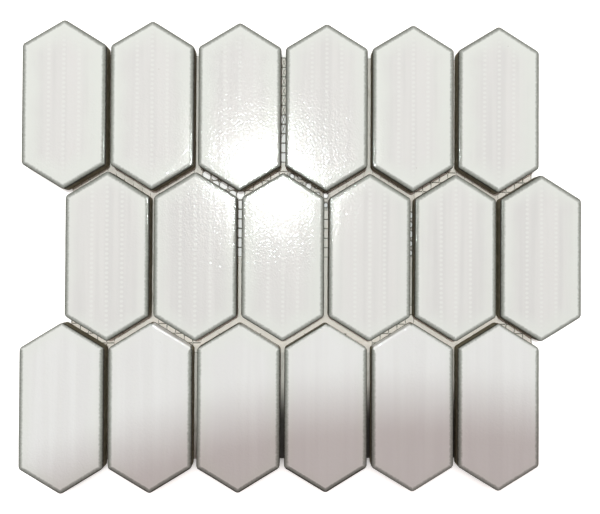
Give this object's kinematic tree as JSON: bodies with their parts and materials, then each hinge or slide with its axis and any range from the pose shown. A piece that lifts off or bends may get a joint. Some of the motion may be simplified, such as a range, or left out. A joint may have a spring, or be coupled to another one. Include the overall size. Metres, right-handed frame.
{
  "type": "elongated hexagon mosaic tile sheet",
  "caption": "Mesh-backed sheet of glazed elongated hexagon mosaic tiles in three staggered rows, with open joints for grout.",
  "frame": {"origin": "middle of the sheet on the underside of the backing mesh", "axes": "+X along the rows of tiles, +Y along the tiles' length towards the top row, +Z out of the glazed faces"},
  "size_m": [0.3224, 0.2692, 0.0075],
  "materials": {
    "glazed_tile": "gloss",
    "backing_mesh": "matte"
  },
  "bodies": {
    "root": {"tile_top_1": "glazed_tile", "tile_top_2": "glazed_tile", "tile_top_3": "glazed_tile", "tile_top_4": "glazed_tile", "tile_top_5": "glazed_tile", "tile_top_6": "glazed_tile", "tile_middle_1": "glazed_tile", "tile_middle_2": "glazed_tile", "tile_middle_3": "glazed_tile", "tile_middle_4": "glazed_tile", "tile_middle_5": "glazed_tile", "tile_middle_6": "glazed_tile", "tile_bottom_1": "glazed_tile", "tile_bottom_2": "glazed_tile", "tile_bottom_3": "glazed_tile", "tile_bottom_4": "glazed_tile", "tile_bottom_5": "glazed_tile", "tile_bottom_6": "glazed_tile", "mesh_top_left": "backing_mesh", "mesh_top_centre": "backing_mesh", "mesh_top_right": "backing_mesh", "mesh_middle_left": "backing_mesh", "mesh_middle_centre": "backing_mesh", "mesh_middle_right": "backing_mesh", "mesh_bottom_left": "backing_mesh", "mesh_bottom_centre": "backing_mesh", "mesh_bottom_right": "backing_mesh"}
  },
  "joints": []
}
